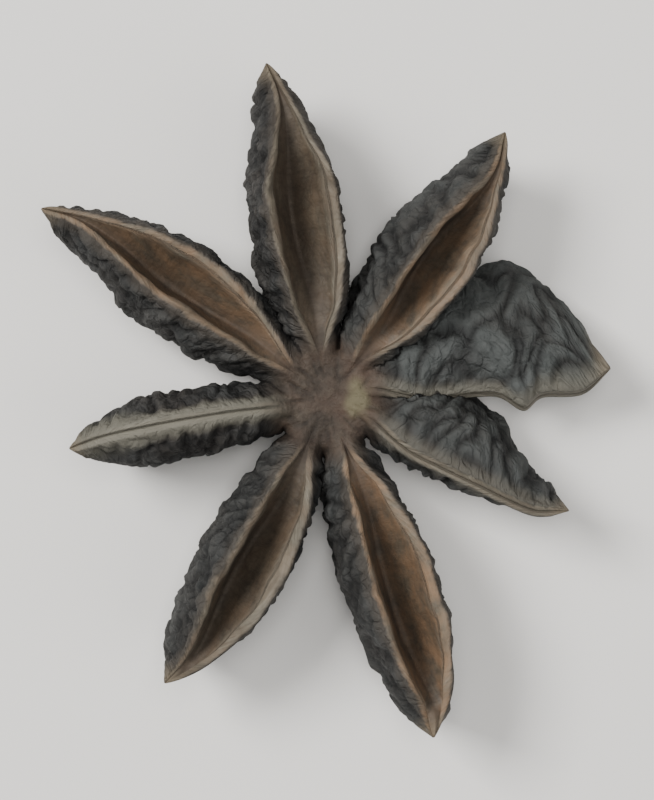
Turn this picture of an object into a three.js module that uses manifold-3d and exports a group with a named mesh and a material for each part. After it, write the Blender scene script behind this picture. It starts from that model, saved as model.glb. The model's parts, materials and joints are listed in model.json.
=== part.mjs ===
// A dried star anise fruit, lying on its underside with its seams up. Eight boat-shaped carpels
// stand round a short column. Five have split open along the seam and show their hollow, and
// three are still shut. Under the column is the stub of the broken stalk. The fruit is one solid.
//
// Millimetres, +Z up. The fruit rests on z = 0 and the middle of its footprint is the origin.

import * as THREE from 'three';
import { mergeVertices } from 'three/addons/utils/BufferGeometryUtils.js';
import Module from 'manifold-3d';

const wasm = await Module();
wasm.setup();
const { clamp, degToRad, lerp, smoothstep } = THREE.MathUtils;

// ---------------------------------------------------------------- driving dimensions

// One entry for each carpel. bearing: where it points, in degrees counterclockwise from +X.
// reach: from the column's axis to the tip of the beak. girth: its width as a share of the usual
// one. roll: how far the keel swings to the left, seen looking outward, in degrees.
// sweep: how far its middle bows to the left. curl: how far its beak turns to the left.
// gape: half the width of the open seam, 0 when it is shut. split: how far out that seam is open,
// as a share of the usual. taper: the share that its outer end lacks of the usual width and depth.
// peak: height of the corner that its rims rise to. lift: height of its keel's lowest point.
const CARPELS = [
  {
    bearing: 99.5, reach: 15.5, girth: 0.98, roll: 14, sweep: 0.2, curl: 0.25,
    gape: 1.2, split: 1, taper: 0.16, peak: 0, lift: 0,
  },
  {
    bearing: 55.5, reach: 14.5, girth: 0.96, roll: 20, sweep: 0, curl: 0.25,
    gape: 0.92, split: 1, taper: 0.16, peak: 0, lift: 0.2,
  },
  {
    bearing: 12, reach: 12.9, girth: 0.94, roll: 64, sweep: 1, curl: -1.35,
    gape: 0, split: 1, taper: -0.1, peak: 0.8, lift: 0,
  },
  {
    bearing: -21, reach: 12, girth: 0.92, roll: 32, sweep: 0.2, curl: -0.75,
    gape: 0, split: 1, taper: 0.45, peak: 0, lift: 0.12,
  },
  {
    bearing: -71, reach: 16, girth: 0.96, roll: -16, sweep: -0.1, curl: -0.45,
    gape: 1.05, split: 1.14, taper: 0, peak: 0, lift: 0,
  },
  {
    bearing: -118, reach: 14.8, girth: 0.93, roll: -17, sweep: 0.05, curl: -0.5,
    gape: 0.98, split: 1.08, taper: 0.05, peak: 0, lift: 0.04,
  },
  {
    bearing: 189.5, reach: 11.9, girth: 0.8, roll: 5, sweep: 0, curl: 0.25,
    gape: 0, split: 1, taper: 0, peak: 0, lift: 0.45,
  },
  {
    bearing: 144.5, reach: 15.6, girth: 1.03, roll: 14, sweep: -0.15, curl: 0.5,
    gape: 0.93, split: 1, taper: 0.16, peak: 0, lift: 0,
  },
];

// The side view and the plan of a carpel, from the column's axis (0) to the tip of the beak (1):
// [share of the reach, size]. seam is the height of the seam, depth is from seam to keel, and
// half is half the width of the body. opening is the share of the gape, along an open carpel.
const SEAM = [
  [0, 4.45], [0.12, 4.8], [0.3, 5.65], [0.5, 6.1], [0.68, 6.15], [0.82, 5.85], [0.92, 5.5], [1, 5.75],
];
const DEPTH = [
  [0, 2.1], [0.12, 3.0], [0.3, 4.95], [0.5, 6.0], [0.68, 6.15], [0.8, 5.75], [0.88, 4.8], [0.94, 2.9], [1, 0.7],
];
const HALF = [
  [0, 0.55], [0.12, 0.95], [0.3, 1.72], [0.5, 2.02], [0.68, 1.85], [0.82, 1.38], [0.92, 0.86], [1, 0.3],
];
const OPENING = [
  [0, 0], [0.13, 0], [0.26, 0.55], [0.42, 0.95], [0.54, 1], [0.65, 0.92], [0.78, 0.46], [0.87, 0.14],
  [0.94, 0], [1, 0],
];

const START = 0.035; // share of the reach where a carpel's body begins, inside the column
const PIVOT = 0.38; // share of the depth, from the seam, about which a carpel rolls
const WIDEST = 0.36; // share of the depth, from the seam, where the body is widest
const TWIST = [0.03, 0.4]; // shares of the reach between which a carpel takes on its roll
const SAG = [0.05, 0.5]; // and between which it takes on its sag
const TAPER = [0.5, 0.85]; // and between which it takes on its taper
const PEAK = { place: 0.67, spread: 0.05 }; // share of the reach where the rims' corner is, and its spread
const CURL_POWER = 4; // the beak's turn grows with this power of the share of the reach
const SLIM_DEPTH = 0.1; // how much of a slim carpel's missing girth its depth shares

const LIP = 0.5; // width of a lip's cut face at the open seam
const LIP_DROP = 0.34; // how far that face slopes down into the hollow
const SHUT_LIP = 0.3; // width of a lip where the seam is shut
const GROOVE = 0.1; // half the width of the groove along a shut seam
const GROOVE_DEPTH = 0.28;
const GROOVE_SHARE = 0.3; // and at most this share of the depth
const WALL = 0.62; // thickness of a carpel's side
const KEEL_WALL = 2.6; // thickness of its keel
const NARROWEST_SIDE = 0.2; // share of the half width that a side keeps beside the opening
const NARROWEST_RIM = 0.03; // and that is left outside the lip
const RIM_POWER = 3; // the rims' corner dies away down the side with this power

// Folds of the dried husk: waves per reach, turns round the section, step from carpel to carpel.
const FOLDS = [
  { along: 23, round: 2.3, step: 1.9, height: 0.055 },
  { along: 9, round: -5.5, step: 0.7, height: 0.04 },
  { along: 41, round: 6.1, step: 2.7, height: 0.033 },
];
const THIN = 0.4; // half widths under this get smaller folds

const SINK = 0.1; // how much the flat rest takes off the lowest keels
const CUTTER = { width: 80, depth: 10 }; // the block that takes it off

// Half of the column and stalk in section, from the stub's lower end up: [radius, height].
const COLUMN = [[0, 0.62], [0.72, 0.55], [1.18, 0.68], [1.27, 0.98], [1.1, 1.5], [1.3, 2.1], [2.0, 2.7],
  [2.5, 3.4], [2.3, 4.1], [1.6, 4.5], [0, 4.56]];
const COLUMN_SIDES = 20;
// The column's small tip, which stands between the seams.
const CORE_TIP = { x: 1.2, y: 0, radius: 0.5, squash: 0.8, top: 4.95, sides: 10, bands: 6 };

const STATIONS = 20; // sections along a carpel
const FLANK_STEPS = 6; // points from lip to keel, outside
const HOLLOW_STEPS = 5; // points from lip to floor, inside
const FLANK_POINTS = 2 * FLANK_STEPS + 1;
const SECTION_POINTS = FLANK_POINTS + 2 * HOLLOW_STEPS + 1;
const CAP_MIDDLE = 0.5; // nearer the axis of the unit cylinder than this is the middle of its cap
const MERGE = 1e-5; // points nearer than this are one vertex

// ---------------------------------------------------------------- helpers

/** A smooth curve through [place, size] points, read at any place. */
function curve(points) {
  const slope = (i) => {
    const a = points[Math.max(i - 1, 0)];
    const b = points[Math.min(i + 1, points.length - 1)];
    return (b[1] - a[1]) / (b[0] - a[0]);
  };
  return (place) => {
    let i = 0;
    while (i < points.length - 2 && place > points[i + 1][0]) i += 1;
    const [x0, y0] = points[i];
    const [x1, y1] = points[i + 1];
    const width = x1 - x0;
    const u = clamp((place - x0) / width, 0, 1);
    const rise = y1 - y0;
    const start = slope(i) * width;
    const end = slope(i + 1) * width;
    return y0 + u * (start + u * (3 * rise - 2 * start - end + u * (start + end - 2 * rise)));
  };
}

const seamHeight = curve(SEAM);
const bodyDepth = curve(DEPTH);
const bodyHalf = curve(HALF);
const openShare = curve(OPENING);

/** The closed mesh as a manifold solid, with equal positions made one vertex. */
function toSolid(geometry) {
  const bare = geometry.clone();
  bare.deleteAttribute('normal');
  bare.deleteAttribute('uv');
  const merged = mergeVertices(bare, MERGE);
  const mesh = new wasm.Mesh({
    numProp: 3,
    vertProperties: new Float32Array(merged.attributes.position.array),
    triVerts: new Uint32Array(merged.index.array),
  });
  return new wasm.Manifold(mesh);
}

/** A manifold solid as a three.js geometry. */
function toGeometry(solid) {
  const mesh = solid.getMesh();
  const geometry = new THREE.BufferGeometry();
  geometry.setAttribute('position', new THREE.BufferAttribute(mesh.vertProperties, 3));
  geometry.setIndex(new THREE.BufferAttribute(mesh.triVerts, 1));
  geometry.computeVertexNormals();
  return geometry;
}

// ---------------------------------------------------------------- a carpel

/** A point between a lip and the middle of the section below it: half is the side's width there. */
function wallPoint(share, lip, half, depth) {
  if (share < WIDEST) {
    const u = share / WIDEST;
    return { x: lip + (half - lip) * Math.sin((Math.PI / 2) * u), z: -depth * WIDEST * u };
  }
  const angle = (Math.PI / 2) * ((share - WIDEST) / (1 - WIDEST));
  return { x: half * Math.cos(angle), z: -depth * (WIDEST + (1 - WIDEST) * Math.sin(angle)) };
}

/** The points of a carpel's section at a place: round the outside from lip to lip, then back inside. */
function section(carpel, place) {
  const open = carpel.gape > 0 ? Math.max(openShare(place / carpel.split), 0) : 0;
  const full = 1 - carpel.taper * smoothstep(place, ...TAPER);
  const depth = bodyDepth(place) * (1 - SLIM_DEPTH * (1 - carpel.girth)) * full;
  const half = bodyHalf(place) * carpel.girth * full;
  const gap = Math.min(GROOVE + open * carpel.gape, half * (1 - NARROWEST_SIDE));
  const lip = Math.min(gap + lerp(SHUT_LIP, LIP, open), half * (1 - NARROWEST_RIM));
  const drop = LIP_DROP * open;
  const hollowHalf = lerp(gap, Math.max(half - WALL, gap), open);
  const hollowDepth = lerp(Math.min(GROOVE_DEPTH, depth * GROOVE_SHARE), depth - KEEL_WALL, open);

  // Looking outward, +x is to the left.
  const mirror = (p) => ({ x: -p.x, z: p.z });
  const rise = carpel.peak * Math.exp(-(((place - PEAK.place) / PEAK.spread) ** 2));
  const side = (steps, narrow, wide, deep, below) => {
    const points = [];
    for (let i = 0; i <= steps; i += 1) {
      const p = wallPoint(i / steps, narrow, wide, deep);
      points.push({ x: p.x, z: p.z - below + rise * (1 - i / steps) ** RIM_POWER });
    }
    return points;
  };
  const flank = side(FLANK_STEPS, lip, half, depth, 0);
  const inside = side(HOLLOW_STEPS, gap, hollowHalf, hollowDepth - drop, drop);
  return [
    ...flank,
    ...flank.slice(0, FLANK_STEPS).reverse().map(mirror),
    ...inside.map(mirror),
    ...inside.slice(0, HOLLOW_STEPS).reverse(),
  ];
}

/** How much larger the folds of the dried husk make the section at one of its flank's points. */
function foldScale(carpel, place, index) {
  const share = index / (FLANK_POINTS - 1);
  const number = CARPELS.indexOf(carpel);
  let height = 0;
  for (const fold of FOLDS) {
    const phase = fold.along * place + fold.round * (2 * share - 1) + fold.step * number;
    height += fold.height * Math.sin(phase);
  }
  const fade = Math.sin(Math.PI * share) * Math.sin(Math.PI * place);
  return 1 + (height * fade) / Math.max(bodyHalf(place), THIN);
}

/** Moves a point of the section at a place along the carpel to where it is in the fruit. */
function placePoint(carpel, place, point) {
  const roll = degToRad(carpel.roll) * smoothstep(place, ...TWIST);
  const pivot = PIVOT * bodyDepth(place);
  const fromPivot = point.z + pivot;
  const sideways = point.x * Math.cos(roll) - fromPivot * Math.sin(roll);
  const upward = point.x * Math.sin(roll) + fromPivot * Math.cos(roll);

  const bearing = degToRad(carpel.bearing);
  const along = place * carpel.reach;
  const left = sideways + carpel.sweep * Math.sin(Math.PI * place) + carpel.curl * place ** CURL_POWER;
  return new THREE.Vector3(
    along * Math.cos(bearing) - left * Math.sin(bearing),
    along * Math.sin(bearing) + left * Math.cos(bearing),
    seamHeight(place) - pivot + upward,
  );
}

/** One carpel: a capped cylinder whose rings take the carpel's sections, sagged to its own lift. */
function carpelSolid(carpel) {
  const tube = new THREE.CylinderGeometry(1, 1, 1, SECTION_POINTS, STATIONS);
  tube.deleteAttribute('normal');
  tube.deleteAttribute('uv');
  const geometry = mergeVertices(tube, MERGE);
  const position = geometry.attributes.position;
  const shares = [];
  let sag = Infinity;
  for (let i = 0; i < position.count; i += 1) {
    const [x, y, z] = [position.getX(i), position.getY(i), position.getZ(i)];
    const place = START + (1 - START) * (0.5 - y);
    const points = section(carpel, place);
    const isCapMiddle = Math.hypot(x, z) < CAP_MIDDLE;
    const turn = (Math.atan2(x, z) / (2 * Math.PI) + 1) % 1;
    const index = Math.round(turn * SECTION_POINTS) % SECTION_POINTS;
    let point = points[index];
    if (isCapMiddle) point = { x: 0, z: (points[0].z + points[FLANK_STEPS].z) / 2 };
    if (!isCapMiddle && index < FLANK_POINTS) {
      const scale = foldScale(carpel, place, index);
      point = { x: point.x * scale, z: point.z * scale };
    }
    const target = placePoint(carpel, place, point);
    position.setXYZ(i, target.x, target.y, target.z);
    const share = smoothstep(place, ...SAG);
    shares.push(share);
    if (share > 0) sag = Math.min(sag, (target.z - carpel.lift) / share);
  }
  for (let i = 0; i < position.count; i += 1) position.setZ(i, position.getZ(i) - sag * shares[i]);
  return toSolid(geometry);
}

// ---------------------------------------------------------------- column and stalk

/** The short column that carries the carpels, with the stub of the stalk under it. */
function columnSolid() {
  const outline = COLUMN.map(([radius, height]) => new THREE.Vector2(radius, height));
  return toSolid(new THREE.LatheGeometry(outline, COLUMN_SIDES).rotateX(Math.PI / 2));
}

/** The column's rounded tip. */
function coreTipSolid() {
  const { x, y, radius, squash, top, sides, bands } = CORE_TIP;
  const tip = new THREE.SphereGeometry(radius, sides, bands);
  tip.scale(1, 1, squash);
  tip.translate(x, y, top - radius * squash);
  return toSolid(tip);
}

// ---------------------------------------------------------------- the fruit

/** All carpels on their column, cut flat where the keels rest. */
function fruitGeometry() {
  let fruit = columnSolid().add(coreTipSolid());
  for (const carpel of CARPELS) fruit = fruit.add(carpelSolid(carpel));
  const below = new THREE.BoxGeometry(CUTTER.width, CUTTER.width, CUTTER.depth);
  below.translate(0, 0, SINK - CUTTER.depth / 2);
  fruit = fruit.subtract(toSolid(below));

  const geometry = toGeometry(fruit);
  geometry.computeBoundingBox();
  const { min, max } = geometry.boundingBox;
  geometry.translate(-(min.x + max.x) / 2, -(min.y + max.y) / 2, -min.z);
  return geometry;
}

const husk = new THREE.MeshStandardMaterial({ color: 0x4a3a30, roughness: 0.8, metalness: 0 });
const pod = new THREE.Mesh(fruitGeometry(), husk);
pod.name = 'star_anise_pod';

const starAnise = new THREE.Group();
starAnise.add(pod);
export default starAnise;
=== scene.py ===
"""Looks of a dried star anise fruit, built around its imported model.

Eight boat-shaped carpels stand round a short column. Five have split along the seam and show
their hollow, and three are still shut. A stub of the stalk is left under the column.
The shapes are worked out in millimetres, in a frame whose origin is the column's axis, and the
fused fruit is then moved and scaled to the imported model's frame, in metres.
"""

import json
import logging
import math
from collections import defaultdict
from collections.abc import Iterable
from dataclasses import dataclass
from enum import Enum

import bmesh
import bpy
from mathutils import Matrix, Vector, noise

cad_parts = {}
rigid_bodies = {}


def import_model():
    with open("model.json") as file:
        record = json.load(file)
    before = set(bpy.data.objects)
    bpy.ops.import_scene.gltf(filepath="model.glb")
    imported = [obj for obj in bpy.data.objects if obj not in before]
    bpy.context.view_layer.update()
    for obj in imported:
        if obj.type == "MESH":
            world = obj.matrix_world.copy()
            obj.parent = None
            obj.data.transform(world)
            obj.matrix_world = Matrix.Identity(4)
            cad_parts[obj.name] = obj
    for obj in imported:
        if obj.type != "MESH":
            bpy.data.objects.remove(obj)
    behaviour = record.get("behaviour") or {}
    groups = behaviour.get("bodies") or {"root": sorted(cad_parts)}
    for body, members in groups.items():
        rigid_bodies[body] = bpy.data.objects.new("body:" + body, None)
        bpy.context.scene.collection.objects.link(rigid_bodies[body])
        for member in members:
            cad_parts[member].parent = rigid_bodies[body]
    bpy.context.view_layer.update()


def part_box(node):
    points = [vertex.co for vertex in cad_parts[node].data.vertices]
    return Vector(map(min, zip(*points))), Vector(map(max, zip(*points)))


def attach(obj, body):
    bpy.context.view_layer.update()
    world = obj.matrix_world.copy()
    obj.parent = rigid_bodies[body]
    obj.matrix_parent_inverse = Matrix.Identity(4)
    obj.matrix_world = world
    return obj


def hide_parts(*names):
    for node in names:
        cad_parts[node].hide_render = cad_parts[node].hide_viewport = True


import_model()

log = logging.getLogger("star_anise")

MM = 0.001
NODE = "star_anise_pod"

Inputs = dict[object, object]
Masks = dict[str, bmesh.types.BMLayerItem]
Pair = tuple[float, float]
Shade = tuple[int, int, int]
Socket = bpy.types.NodeSocket


# ---------------------------------------------------------------- helpers


def mix(start: float, end: float, share: float) -> float:
    """The value at a share of the way from start to end."""
    return start + (end - start) * share


def smoothstep(low: float, high: float, value: float) -> float:
    """A smooth rise from 0 at low to 1 at high."""
    share = min(max((value - low) / (high - low), 0.0), 1.0)
    return share * share * (3 - 2 * share)


def ripple(x: float, y: float, z: float, size: float = 1) -> float:
    """Smooth noise at a point, about -1 to 1, with swells of about the given size."""
    return noise.noise(Vector((x, y, z)) / size)


def linear_part(value: int) -> float:
    """One eight-bit screen value, as the linear value that a shader takes."""
    part = value / 255
    return part / 12.92 if part <= 0.04045 else ((part + 0.055) / 1.055) ** 2.4


def linear(shade: Shade) -> tuple[float, ...]:
    """A colour given as eight-bit screen values, as the linear colour that a shader takes."""
    return (*map(linear_part, shade), 1.0)


def relax(bm: bmesh.types.BMesh, verts: Iterable[bmesh.types.BMVert]) -> None:
    """Moves vertices halfway to the middle of their neighbours."""
    bmesh.ops.smooth_vert(
        bm, verts=verts, factor=0.5, use_axis_x=True, use_axis_y=True, use_axis_z=True,
    )


def add_masks(bm: bmesh.types.BMesh) -> Masks:
    """Adds the vertex layers that the finish reads.

    Args:
        bm: a new mesh.

    Returns:
        The layers by name: numbers from 0 to 1, and "place", a point in millimetres.
    """
    names = (
        "lip", "lining", "deep", "across", "ridge", "edge", "stub", "hub", "tip", "beak", "warmth",
        "pale", "painted_sheen", "sag",
    )
    masks = {name: bm.verts.layers.float.new(name) for name in names}
    return masks | {"place": bm.verts.layers.float_vector.new("place")}


def new_object(name: str, bm: bmesh.types.BMesh) -> bpy.types.Object:
    """Makes an object.

    Args:
        name: what it and its mesh are called.
        bm: its finished shape, which is freed.

    Returns:
        The object, not yet in the scene.
    """
    mesh = bpy.data.meshes.new(name)
    bm.to_mesh(mesh)
    bm.free()
    return bpy.data.objects.new(name, mesh)


def put_in_scene(item: bpy.types.Object) -> None:
    """Links an object to the scene."""
    bpy.context.scene.collection.objects.link(item)


def new_material(name: str) -> tuple[bpy.types.Material, bpy.types.Node]:
    """Makes a material.

    Args:
        name: what it is called.

    Returns:
        The material and its Principled BSDF.
    """
    material = bpy.data.materials.new(name)
    material.use_nodes = True
    return material, material.node_tree.nodes["Principled BSDF"]


@dataclass(frozen=True)
class Curve:
    """A smooth curve through stations, each a place and the size there."""

    stations: tuple[Pair, ...]

    def slope(self, index: int) -> float:
        """Works out the slope at a station, from the stations on both sides of it.

        Args:
            index: the station's number.

        Returns:
            The slope there.
        """
        before = self.stations[max(index - 1, 0)]
        after = self.stations[min(index + 1, len(self.stations) - 1)]
        return (after[1] - before[1]) / (after[0] - before[0])

    def at(self, place: float) -> float:
        """Reads the curve.

        Args:
            place: where to read it, usually between the first and the last station.

        Returns:
            The size there.
        """
        index = 0
        while index < len(self.stations) - 2 and place > self.stations[index + 1][0]:
            index += 1
        (x0, y0), (x1, y1) = self.stations[index], self.stations[index + 1]
        width = x1 - x0
        share = min(max((place - x0) / width, 0.0), 1.0)
        rise = y1 - y0
        first = self.slope(index) * width
        last = self.slope(index + 1) * width
        cubic = share * (first + last - 2 * rise)
        return y0 + share * (first + share * (3 * rise - 2 * first - last + cubic))


# ---------------------------------------------------------------- relief


@dataclass(frozen=True)
class HuskRelief:
    """How the dried husk is dented, folded, creased and pitted. Sizes are in millimetres.

    dent, fold, fine and grit are heights, and the names that end in size, along and around say
    how far apart they lie. fine_pace draws the fine creases out round the husk, lean slants the
    folds, and warp bends them. A sharpness narrows creases, a middle is the share of a height
    that lies below the skin, and the seeds keep the patterns apart.
    """

    dent: float = 0.15
    dent_size: float = 3.4
    dent_seeds: float = 3
    fold: float = 0.24
    fold_along: float = 1.05
    fold_around: float = 2.1
    fold_sharpness: float = 2.8
    fold_middle: float = 0.55
    fine: float = 0.17
    fine_size: float = 0.66
    fine_pace: float = 0.8
    fine_sharpness: float = 3
    fine_power: float = 0.7
    fine_middle: float = 0.6
    fine_seed: float = 9
    lean: float = 0.4
    warp: float = 1.1
    warp_size: float = 1.9
    warp_seeds: Pair = (5.1, 8.3)
    grit: float = 0.05
    grit_size: float = 0.3
    grit_seed: float = 1

    def folds(self, along: float, around: float, seed: float) -> float:
        """Works out the folds alone.

        Args:
            along: distance from the column's axis.
            around: distance from the keel, positive to the left.
            seed: sets one carpel's pattern apart from the next one's.

        Returns:
            0 in a crease and about 1 on top of a fold.
        """
        bend, twist = (
            ripple(along / self.warp_size, around / self.warp_size, seed + more) for more in self.warp_seeds
        )
        x = (along + self.lean * abs(around) + self.warp * bend) / self.fold_along
        y = (around + self.warp * twist) / self.fold_around
        return min(abs(ripple(x, y, seed)) * self.fold_sharpness, 1.0)

    def creases(self, along: float, around: float, seed: float) -> float:
        """The fine creases between and across the folds: 0 in a crease and about 1 beside it."""
        wave = ripple(along, around * self.fine_pace, seed + self.fine_seed, self.fine_size)
        return min(abs(wave) * self.fine_sharpness, 1.0) ** self.fine_power

    def height(self, along: float, around: float, seed: float) -> float:
        """Works out the relief at a point of the husk, given as for the folds.

        Args:
            along: distance from the column's axis.
            around: distance from the keel.
            seed: the carpel's own.

        Returns:
            How far the husk stands out there, negative in a crease.
        """
        dents = self.dent * ripple(along, around, seed * self.dent_seeds, self.dent_size)
        folds = self.fold * (self.folds(along, around, seed) - self.fold_middle)
        creases = self.fine * (self.creases(along, around, seed) - self.fine_middle)
        grit = self.grit * ripple(along, around, seed + self.grit_seed, self.grit_size)
        return dents + folds + creases + grit


@dataclass(frozen=True)
class LiningRelief:
    """The lining's faint cross ribs and shallow dents, in millimetres."""

    rib: float = 0.035
    rib_size: Pair = (0.42, 3)
    rib_seed: float = 2
    dent: float = 0.09
    dent_size: float = 2.1
    dent_seed: float = 4

    def height(self, along: float, around: float, seed: float) -> float:
        """How far the lining stands out at a point, given as for the husk."""
        ribs = ripple(along / self.rib_size[0], around / self.rib_size[1], seed + self.rib_seed)
        return self.rib * ribs + self.dent * ripple(along, around, seed + self.dent_seed, self.dent_size)


# ---------------------------------------------------------------- a carpel


class Zone(Enum):
    """The three surfaces that a section runs round."""

    FLANK = "flank"
    LIP = "lip"
    HOLLOW = "hollow"


@dataclass(frozen=True)
class Spot:
    """A point on the ring round a section.

    share runs from lip to keel on the flank, from the outer to the inner edge on the lip, and
    from the lip to the floor in the hollow. side is 1 on the left, looking outward, and -1 on
    the right.
    """

    zone: Zone
    side: int
    share: float


@dataclass(frozen=True)
class Plan:
    """How one carpel differs from the others.

    bearing is where it points, in degrees counterclockwise from +X, and roll is how far its keel
    swings to the left. reach runs to the tip of the beak, girth is its share of the usual width,
    curl turns its beak and sweep bows its middle to the left. warmth turns the lining from olive
    to orange-brown. gape is half the width of the open seam, and split is how far out that seam
    is open, as a share of the usual. taper is the share that its outer end lacks of the usual
    width and depth, peak is the height of the corner that its rims rise to, and lift is the
    height of the keel's lowest point. pale bleaches the seam, and the last value is the share of a
    grey of painted light and sheen that is laid on the husk's crests.
    """

    bearing: float
    reach: float
    girth: float
    roll: float
    curl: float
    warmth: float
    sweep: float = 0
    gape: float = 0
    split: float = 1
    taper: float = 0
    peak: float = 0
    lift: float = 0
    pale: float = 0
    painted_sheen: float = 0


PLANS = (
    Plan(
        bearing=99.5, reach=15.5, girth=0.98, roll=14, curl=0.25, warmth=0.2, sweep=0.2, gape=1.2,
        taper=0.16,
    ),
    Plan(
        bearing=55.5, reach=14.5, girth=0.96, roll=20, curl=0.25, warmth=0.75, gape=0.92,
        taper=0.16, lift=0.2, painted_sheen=0.3,
    ),
    Plan(
        bearing=12, reach=12.9, girth=0.94, roll=64, curl=-1.35, warmth=0.1, sweep=1, taper=-0.1,
        peak=0.8, pale=0.6, painted_sheen=0.85,
    ),
    Plan(
        bearing=-21, reach=12, girth=0.92, roll=32, curl=-0.75, warmth=0.2, sweep=0.2, taper=0.45,
        lift=0.12, pale=0.3, painted_sheen=0.6,
    ),
    Plan(
        bearing=-71, reach=16, girth=0.96, roll=-16, curl=-0.45, warmth=1, sweep=-0.1, gape=1.05,
        split=1.14, painted_sheen=0.15,
    ),
    Plan(
        bearing=-118, reach=14.8, girth=0.93, roll=-17, curl=-0.5, warmth=0.25, sweep=0.05,
        gape=0.98, split=1.08, taper=0.05, lift=0.04, painted_sheen=0.15,
    ),
    Plan(bearing=189.5, reach=11.9, girth=0.8, roll=5, curl=0.25, warmth=0.1, lift=0.45, pale=0.8),
    Plan(
        bearing=144.5, reach=15.6, girth=1.03, roll=14, curl=0.5, warmth=0.8, sweep=-0.15,
        gape=0.93, taper=0.16, painted_sheen=0.1,
    ),
)


@dataclass(frozen=True)
class Cut:
    """The sizes of a carpel's section at one place along it, in millimetres and radians."""

    place: float
    opening: float
    depth: float
    half: float
    gap: float
    lip: float
    drop: float
    hollow_depth: float
    roll: float
    round_off: float

    @property
    def parted(self) -> float:
        """0 where the seam is shut, and 1 where it has opened halfway or more."""
        return min(self.opening * 2, 1)


@dataclass
class Carpel:
    """One boat-shaped carpel, from inside the column to the tip of its beak.

    Places along it are shares of its reach, and sizes are in millimetres. seam is the seam's
    height, depth is from seam to keel, half is half the body's width and opening is the share of
    the gape. A pair has the two ends of a change, or a size along the carpel and one around it.
    """

    plan: Plan
    number: int

    seam: Curve = Curve((
        (0, 4.45), (0.12, 4.8), (0.3, 5.65), (0.5, 6.1), (0.68, 6.15), (0.82, 5.85), (0.92, 5.5),
        (1, 5.75),
    ))
    depth: Curve = Curve((
        (0, 2.1), (0.12, 3.0), (0.3, 4.95), (0.5, 6.0), (0.68, 6.15), (0.8, 5.75), (0.88, 4.8),
        (0.94, 2.9), (1, 0.7),
    ))
    half: Curve = Curve((
        (0, 0.55), (0.12, 0.95), (0.3, 1.72), (0.5, 2.02), (0.68, 1.85), (0.82, 1.38), (0.92, 0.86),
        (1, 0.3),
    ))
    opening: Curve = Curve((
        (0, 0), (0.13, 0), (0.26, 0.55), (0.42, 0.95), (0.54, 1), (0.65, 0.92), (0.78, 0.46),
        (0.87, 0.14), (0.94, 0), (1, 0),
    ))

    # Its course and its body.
    start: float = 0.035
    pivot: float = 0.38
    widest: float = 0.36
    twist: Pair = (0.03, 0.4)
    sag: Pair = (0.05, 0.5)
    tapering: Pair = (0.5, 0.85)
    peak_place: float = 0.67
    peak_spread: float = 0.05
    curl_power: int = 4
    slim_depth: float = 0.1
    tip_round: float = 0.9
    tip_power: float = 2.5
    tip_least: float = 0.02
    flank_bow: float = 0.57

    # Lips, and the hollow or the groove between them.
    lip_width: float = 0.5
    lip_drop: float = 0.24
    lip_slope: float = 1.7
    lip_bulge: Pair = (0.03, 0.12)
    shut_lip: float = 0.3
    groove: float = 0.04
    groove_depth: float = 0.12
    groove_share: float = 0.3
    keel_wall: float = 3.4
    hollow_bow: float = 1.25
    hollow_round: float = 0.85
    narrowest_side: float = 0.2
    narrowest_rim: float = 0.03

    # Torn rims: how far they wander, how fast, and how deep their nicks are. Lanes and the step
    # from side to side keep their waves apart.
    rim_wave: float = 0.2
    rim_sway: float = 0.6
    rim_size: float = 1.5
    rim_power: int = 3
    gap_pace: float = 1.3
    rise_pace: float = 0.8
    nick: float = 0.35
    nick_size: float = 0.9
    nick_level: float = 0.25
    side_step: int = 7
    gap_lane: int = 0
    lip_lane: int = 3
    rise_lane: int = 5
    nick_lane: int = 9

    # Relief. A broad fold has waves along, turns around, a step from carpel to carpel and a size.
    broad_folds: tuple[tuple[float, float, float, float], ...] = (
        (23, 2.3, 1.9, 0.055), (9, -5.5, 0.7, 0.04), (41, 6.1, 2.7, 0.033),
    )
    least_half: float = 0.4
    relief_start: Pair = (0.06, 0.2)
    relief_end: Pair = (1.0, 0.93)
    lip_fade: float = 0.45
    hollow_start: float = 0.15
    fibre: float = 0.05
    fibre_size: Pair = (1.2, 0.18)
    seed_step: float = 13.7

    # Masks.
    edge_fade: float = 0.7
    lip_ridge: float = 0.8
    lip_lining: Pair = (0.4, 0.9)
    lip_inside: Pair = (0.03, 0.26)
    groove_deep: float = 0.85
    beak_fade: Pair = (0.93, 0.99)
    bleach_edge: float = 0.1
    bleach: Pair = (0.45, 1.9)
    bleach_start: Pair = (0.12, 0.3)
    bleach_end: Pair = (0.6, 0.88)

    stations: int = 104
    flank_steps: int = 38
    shut_flank_steps: int = 44
    lip_steps: int = 5
    hollow_steps: int = 12
    groove_steps: int = 3
    weld: float = 1e-5
    husk: HuskRelief = HuskRelief()
    lining: LiningRelief = LiningRelief()

    @property
    def is_open(self) -> bool:
        """Whether the seam has split."""
        return self.plan.gape > 0

    @property
    def seed(self) -> float:
        """Sets this carpel's relief apart from the others'."""
        return self.seed_step * (self.number + 1)

    def ring(self) -> list[Spot]:
        """Goes round a section.

        Returns:
            Its spots: the flanks from lip to lip, then a lip, the hollow and the other lip.
        """
        flank = self.flank_steps if self.is_open else self.shut_flank_steps
        hollow = self.hollow_steps if self.is_open else self.groove_steps
        walls = (
            (Zone.FLANK, 1, flank, False),
            (Zone.FLANK, -1, flank, True),
            (Zone.LIP, -1, self.lip_steps, False),
            (Zone.HOLLOW, -1, hollow, False),
            (Zone.HOLLOW, 1, hollow, True),
            (Zone.LIP, 1, self.lip_steps, True),
        )
        return [
            Spot(zone, side, 1 - step / steps if back else step / steps)
            for zone, side, steps, back in walls
            for step in range(steps)
        ]

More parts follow.
